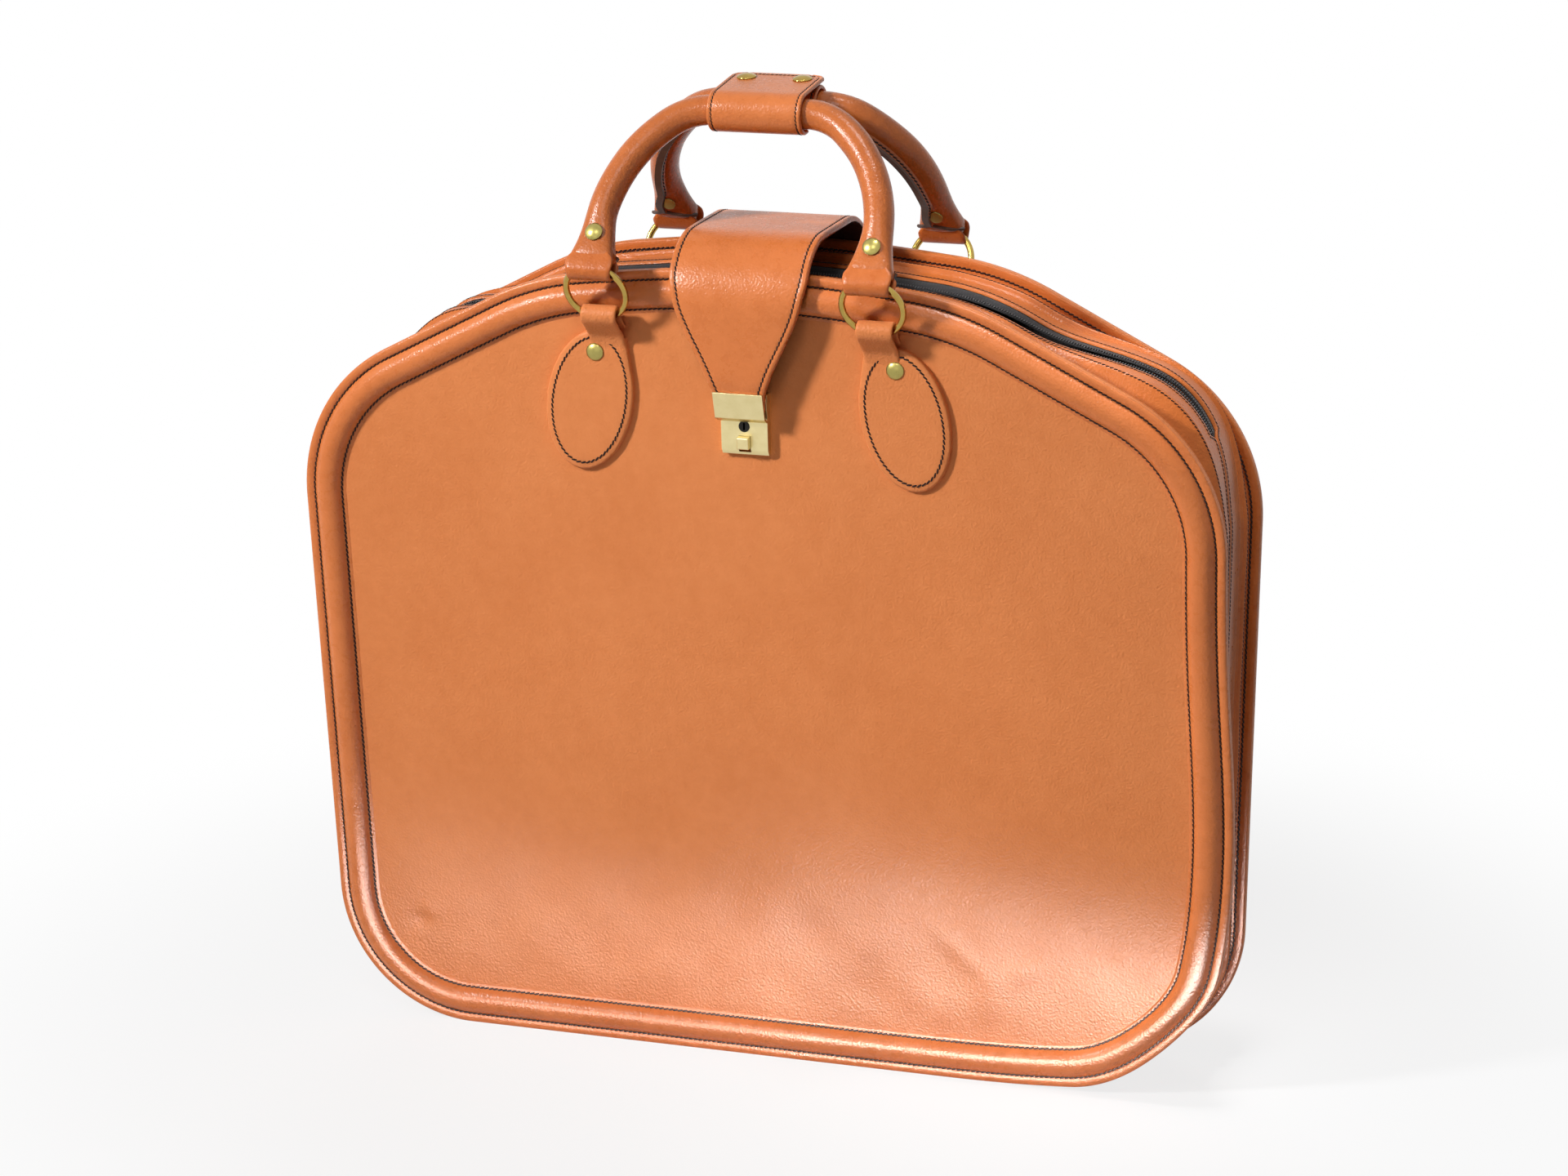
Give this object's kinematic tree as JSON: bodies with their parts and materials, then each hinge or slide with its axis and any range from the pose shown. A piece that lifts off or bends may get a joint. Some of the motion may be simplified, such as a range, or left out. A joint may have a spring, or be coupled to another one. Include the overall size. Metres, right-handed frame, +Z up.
{
  "type": "suitcase",
  "caption": "Soft-sided leather suitcase with raised borders, a pleated zip gusset, rolled handles on rings joined by a snap wrap, and a strap that locks over the top.",
  "frame": {"origin": "floor level, midway between the panels and the sides", "axes": "+X across the case to its right, +Y from the front panel to the rear one, +Z up"},
  "size_m": [0.5966, 0.165, 0.6212],
  "materials": {
    "tan_leather": "fine grain",
    "brass": "satin",
    "board": "raw fibreboard",
    "cord": "twisted cord",
    "lining": "plain weave",
    "zip_tape": "woven tape",
    "zip_coil": "moulded coil"
  },
  "bodies": {
    "case": {"front_panel": "tan_leather", "rear_panel": "tan_leather", "front_border": "tan_leather", "rear_border": "tan_leather", "front_gusset": "tan_leather", "rear_gusset": "tan_leather", "front_chape_rivets": "brass", "rear_chape_rivets": "brass", "front_board": "board", "rear_board": "board", "front_border_cord": "cord", "rear_border_cord": "cord", "front_lining": "lining", "rear_lining": "lining", "front_zip_tape": "zip_tape", "rear_zip_tape": "zip_tape", "front_zip_coil": "zip_coil", "rear_zip_coil": "zip_coil", "front_left_chape": "tan_leather", "front_right_chape": "tan_leather", "rear_left_chape": "tan_leather", "rear_right_chape": "tan_leather", "strap_anchor": "tan_leather", "anchor_rivets": "brass", "lock_case": "brass", "lock_screws": "brass", "lock_back_plate": "brass"},
    "front_rings": {"front_left_ring": "brass", "front_right_ring": "brass"},
    "rear_rings": {"rear_left_ring": "brass", "rear_right_ring": "brass"},
    "front_handle": {"front_handle": "tan_leather", "front_handle_core": "cord", "front_handle_rivets": "brass", "wrap_cover": "tan_leather"},
    "rear_handle": {"rear_handle": "tan_leather", "rear_handle_core": "cord", "rear_handle_rivets": "brass", "rear_sleeve": "tan_leather", "snap_studs": "brass"},
    "wrap_flap": {"wrap_flap": "tan_leather", "snap_caps": "brass"},
    "strap": {"strap": "tan_leather"},
    "tongue": {"tongue": "tan_leather", "hasp_plate": "brass", "hasp_back": "brass", "hasp_pins": "brass"},
    "lock_button": {"lock_button": "brass", "latch_bolt": "brass"},
    "key_plug": {"key_plug": "brass"},
    "zip_slider": {"zip_slider": "brass"},
    "zip_pull": {"zip_pull": "brass"}
  },
  "joints": [
    {"name": "front_ring_swing", "type": "hinge", "parent": "case", "child": "front_rings", "pos_m": [0, -0.06233, 0.48363], "axis": [1, 0, 0], "range_deg": [0, 40]},
    {"name": "rear_ring_swing", "type": "hinge", "parent": "case", "child": "rear_rings", "pos_m": [0, 0.06233, 0.48363], "axis": [1, 0, 0], "range_deg": [-40, 0]},
    {"name": "front_handle_swing", "type": "hinge", "parent": "front_rings", "child": "front_handle", "pos_m": [0, -0.07598, 0.51435], "axis": [1, 0, 0], "range_deg": [0, 90]},
    {"name": "rear_handle_swing", "type": "hinge", "parent": "rear_rings", "child": "rear_handle", "pos_m": [0, 0.07598, 0.51435], "axis": [1, 0, 0], "range_deg": [-90, 0]},
    {"name": "flap_open", "type": "hinge", "parent": "front_handle", "child": "wrap_flap", "pos_m": [0, -0.01534, 0.61573], "axis": [1, 0, 0], "range_deg": [0, 110]},
    {"name": "strap_lift", "type": "hinge", "parent": "case", "child": "strap", "pos_m": [0, 0.066, 0.491], "axis": [-1, 0, 0], "range_deg": [0, 21]},
    {"name": "tongue_open", "type": "hinge", "parent": "strap", "child": "tongue", "pos_m": [0, -0.066, 0.491], "axis": [-1, 0, 0], "range_deg": [0, 150]},
    {"name": "button_slide", "type": "slide", "parent": "case", "child": "lock_button", "axis": [0, 0.0209, -0.9998], "range_m": [0, 0.0025], "stiffness_N_per_m": 200},
    {"name": "key_turn", "type": "hinge", "parent": "case", "child": "key_plug", "pos_m": [0, -0.04824, 0.41741], "axis": [0, -0.9998, -0.0209], "range_deg": [0, 90]},
    {"name": "zip_run", "type": "hinge", "parent": "case", "child": "zip_slider", "pos_m": [-0.19135, 0, 0.35518], "axis": [0, 1, 0], "range_deg": [0, 15]},
    {"name": "pull_swing", "type": "hinge", "parent": "zip_slider", "child": "zip_pull", "pos_m": [-0.26716, 0, 0.42241], "axis": [0, 1, 0], "range_deg": [0, 150]}
  ],
  "couplings": [
    {"joint": "rear_ring_swing", "follows": "front_ring_swing", "ratio": -1},
    {"joint": "rear_handle_swing", "follows": "front_handle_swing", "ratio": -1},
    {"joint": "strap_lift", "follows": "tongue_open", "ratio": 0.14}
  ]
}
